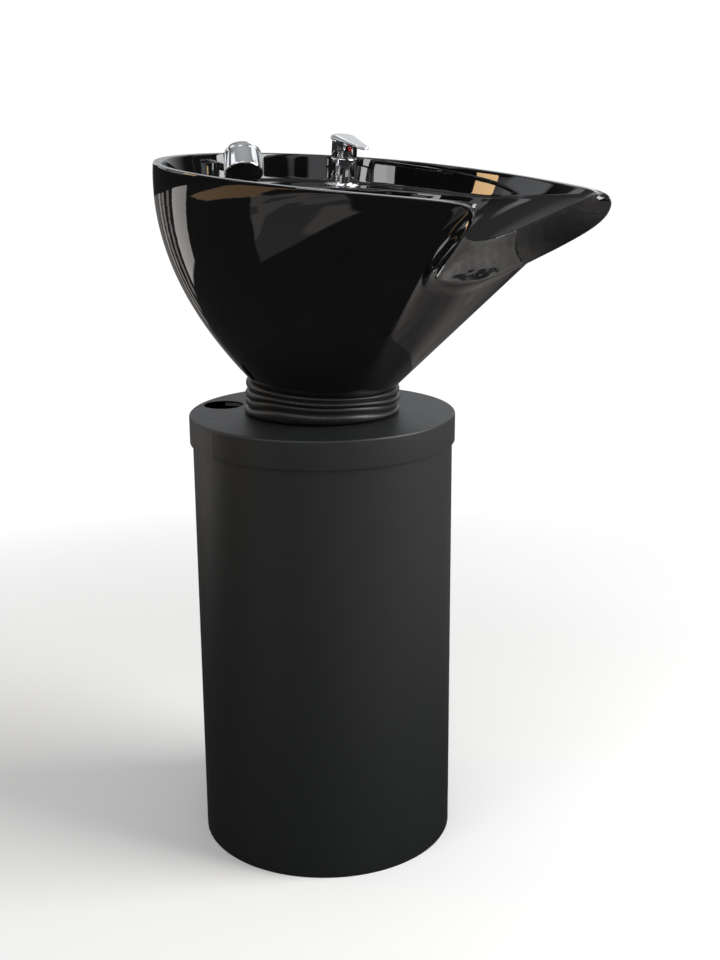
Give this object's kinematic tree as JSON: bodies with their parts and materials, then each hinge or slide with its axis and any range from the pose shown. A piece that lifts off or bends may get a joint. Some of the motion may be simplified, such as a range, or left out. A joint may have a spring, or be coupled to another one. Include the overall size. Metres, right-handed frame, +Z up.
{
  "type": "backwash basin on a pedestal",
  "caption": "Hair-washing basin with a neck notch, lever mixer and hand shower, tilting on a drum pedestal under a pleated rubber sleeve.",
  "frame": {"origin": "centre of the floor anchor circle at the floor, on the drum's axis", "axes": "+Z up, +X towards the neck notch in front, +Y towards the side with the mixer"},
  "size_m": [0.58, 0.49, 1.0214],
  "materials": {
    "powder_coat": "matte black powder coat with a fine texture",
    "frame_steel": "grey painted steel",
    "zinc_steel": "zinc plated",
    "ceramic_black": "deep gloss black glaze",
    "rubber_black": "satin black rubber",
    "gel_black": "soft gloss black gel",
    "chrome": "mirror chrome plate",
    "plastic_black": "moulded black plastic",
    "plastic_cream": "moulded cream plastic",
    "dot_red": "red marker, gloss",
    "brass": "turned brass",
    "braid": "braided stainless steel sleeve"
  },
  "bodies": {
    "pedestal": {"pedestal_drum": "powder_coat", "pedestal_lid": "powder_coat", "lid_screws": "powder_coat", "base_plate": "frame_steel", "frame_posts": "frame_steel", "top_plate": "frame_steel", "tilt_bracket": "zinc_steel", "bracket_bolts": "zinc_steel", "hinge_bolts": "zinc_steel", "hinge_nuts": "zinc_steel", "friction_washers": "rubber_black", "sleeve": "rubber_black", "waste_hose": "plastic_black", "hot_hose_lower": "braid", "cold_hose_lower": "braid", "hose_nuts": "brass"},
    "mixer_spindle": {"mixer_spindle": "zinc_steel"},
    "mixer_handle": {"mixer_handle": "chrome", "index_dot": "dot_red"},
    "shower_cone": {"shower_cone": "chrome"},
    "hand_shower": {"hand_shower": "chrome", "spray_face": "plastic_black"},
    "hair_strainer": {"hair_strainer": "chrome"},
    "basin": {"tilt_cradle": "zinc_steel", "cradle_gasket": "rubber_black", "basin_bolts": "zinc_steel", "basin_nuts": "zinc_steel", "basin": "ceramic_black", "neck_cushion": "gel_black", "waste_flange": "chrome", "waste_washer": "rubber_black", "waste_nut": "brass", "waste_tail": "plastic_black", "tail_nut": "plastic_black", "mixer_base_ring": "chrome", "mixer_body": "chrome", "mixer_cartridge": "plastic_cream", "mixer_washer": "rubber_black", "mixer_locknut": "brass", "shower_gland": "chrome", "gland_washer": "rubber_black", "gland_nut": "brass", "shower_hose": "braid", "hot_hose_upper": "braid", "cold_hose_upper": "braid"}
  },
  "joints": [
    {"name": "basin_tilt", "type": "hinge", "parent": "pedestal", "child": "basin", "pos_m": [0, 0, 0.66], "axis": [0, 1, 0], "range_deg": [-6, 8], "deforming": ["sleeve"]},
    {"name": "mixer_swivel", "type": "hinge", "parent": "basin", "child": "mixer_spindle", "pos_m": [-0.07458, 0.147, 0.98686], "axis": [0.0785, 0, 0.9969], "range_deg": [-50, 50]},
    {"name": "mixer_lift", "type": "hinge", "parent": "mixer_spindle", "child": "mixer_handle", "pos_m": [-0.08947, 0.15498, 0.98903], "axis": [-0.468, -0.8829, 0.0368], "range_deg": [0, 20]},
    {"name": "shower_lift", "type": "slide", "parent": "basin", "child": "shower_cone", "axis": [0.0785, 0, 0.9969], "range_m": [0, 0.08]},
    {"name": "shower_turn", "type": "hinge", "parent": "shower_cone", "child": "hand_shower", "pos_m": [-0.13796, -0.01, 0.97179], "axis": [0.0785, 0, 0.9969], "range_deg": [-40, 70]},
    {"name": "strainer_lift", "type": "slide", "parent": "basin", "child": "hair_strainer", "axis": [0.0785, 0, 0.9969], "range_m": [0, 0.03]}
  ]
}
